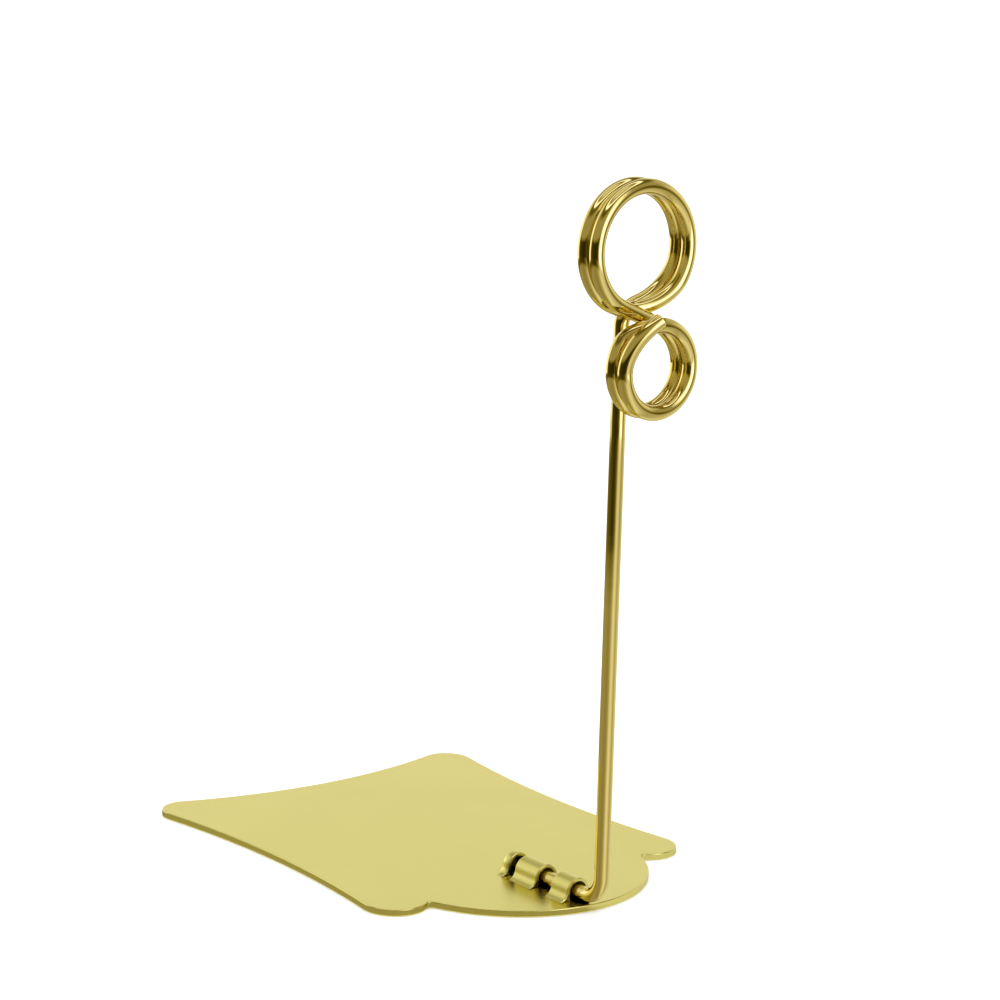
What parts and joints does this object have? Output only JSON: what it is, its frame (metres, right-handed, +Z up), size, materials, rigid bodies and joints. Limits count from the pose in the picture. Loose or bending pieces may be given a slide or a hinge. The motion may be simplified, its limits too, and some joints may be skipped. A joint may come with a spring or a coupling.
{
  "type": "table number holder",
  "caption": "Sheet-metal foot with pressed-up loops that hinge a bent-wire stem, topped by double-turn rings that clip a card upright.",
  "frame": {"origin": "centre of the foot plate's flat underside, which rests on the table", "axes": "+Z up along the stem, -Y towards the front that the rings face, +X to the right seen from the front"},
  "size_m": [0.0804, 0.1191, 0.1461],
  "materials": {
    "plated_sheet": "smooth pale-gold plating, satin bright",
    "plated_wire": "smooth gold plating, mirror bright"
  },
  "bodies": {
    "foot": {"base_plate": "plated_sheet"},
    "stem": {"clip_wire": "plated_wire"}
  },
  "joints": [
    {"name": "stem_fold", "type": "hinge", "parent": "foot", "child": "stem", "pos_m": [-0.0016, -0.033, 0.00298], "axis": [0, 1, 0], "range_deg": [-83, 83]}
  ]
}
